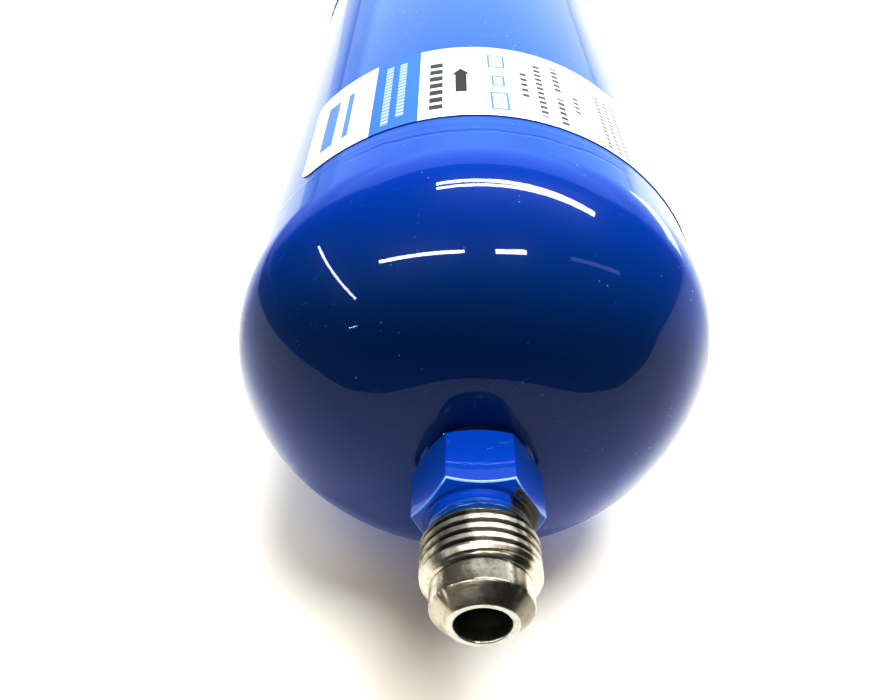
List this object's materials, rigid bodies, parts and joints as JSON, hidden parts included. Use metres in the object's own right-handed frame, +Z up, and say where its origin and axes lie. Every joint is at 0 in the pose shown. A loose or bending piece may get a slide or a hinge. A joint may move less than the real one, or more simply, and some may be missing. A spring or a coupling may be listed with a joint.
{
  "type": "liquid line filter drier",
  "caption": "Welded steel cylinder with domed ends and a male flare fitting at each end, holding a spring-loaded desiccant core between felt pads and perforated plates.",
  "frame": {"origin": "middle of the drier, on its axis, half-way between the two flare noses", "axes": "+Y along the axis from the inlet to the outlet, +Z up through the middle of the label, +X to the right seen from the inlet"},
  "size_m": [0.0776, 0.246, 0.0776],
  "materials": {
    "blue_enamel": "gloss",
    "plated_steel": "satin",
    "label_film": "satin",
    "plate_steel": "satin",
    "spring_steel": "satin",
    "wire_gauze": "matte",
    "felt": "matte",
    "desiccant": "matte",
    "glass_fibre": "matte",
    "gasket_fibre": "matte"
  },
  "bodies": {
    "root": {"shell_body": "blue_enamel", "outlet_cap": "blue_enamel", "girth_weld": "blue_enamel", "inlet_fitting": "plated_steel", "outlet_fitting": "plated_steel", "inlet_braze_ring": "blue_enamel", "outlet_braze_ring": "blue_enamel", "label": "label_film", "inlet_diffuser": "plate_steel", "core_spring": "spring_steel", "spring_plate": "plate_steel", "inlet_gauze": "wire_gauze", "inlet_felt_pad": "felt", "drier_core": "desiccant", "core_wrap": "glass_fibre", "core_gasket": "gasket_fibre", "outlet_felt_pad": "felt", "outlet_gauze": "wire_gauze", "outlet_support_plate": "plate_steel", "outlet_strainer": "wire_gauze"}
  },
  "joints": []
}
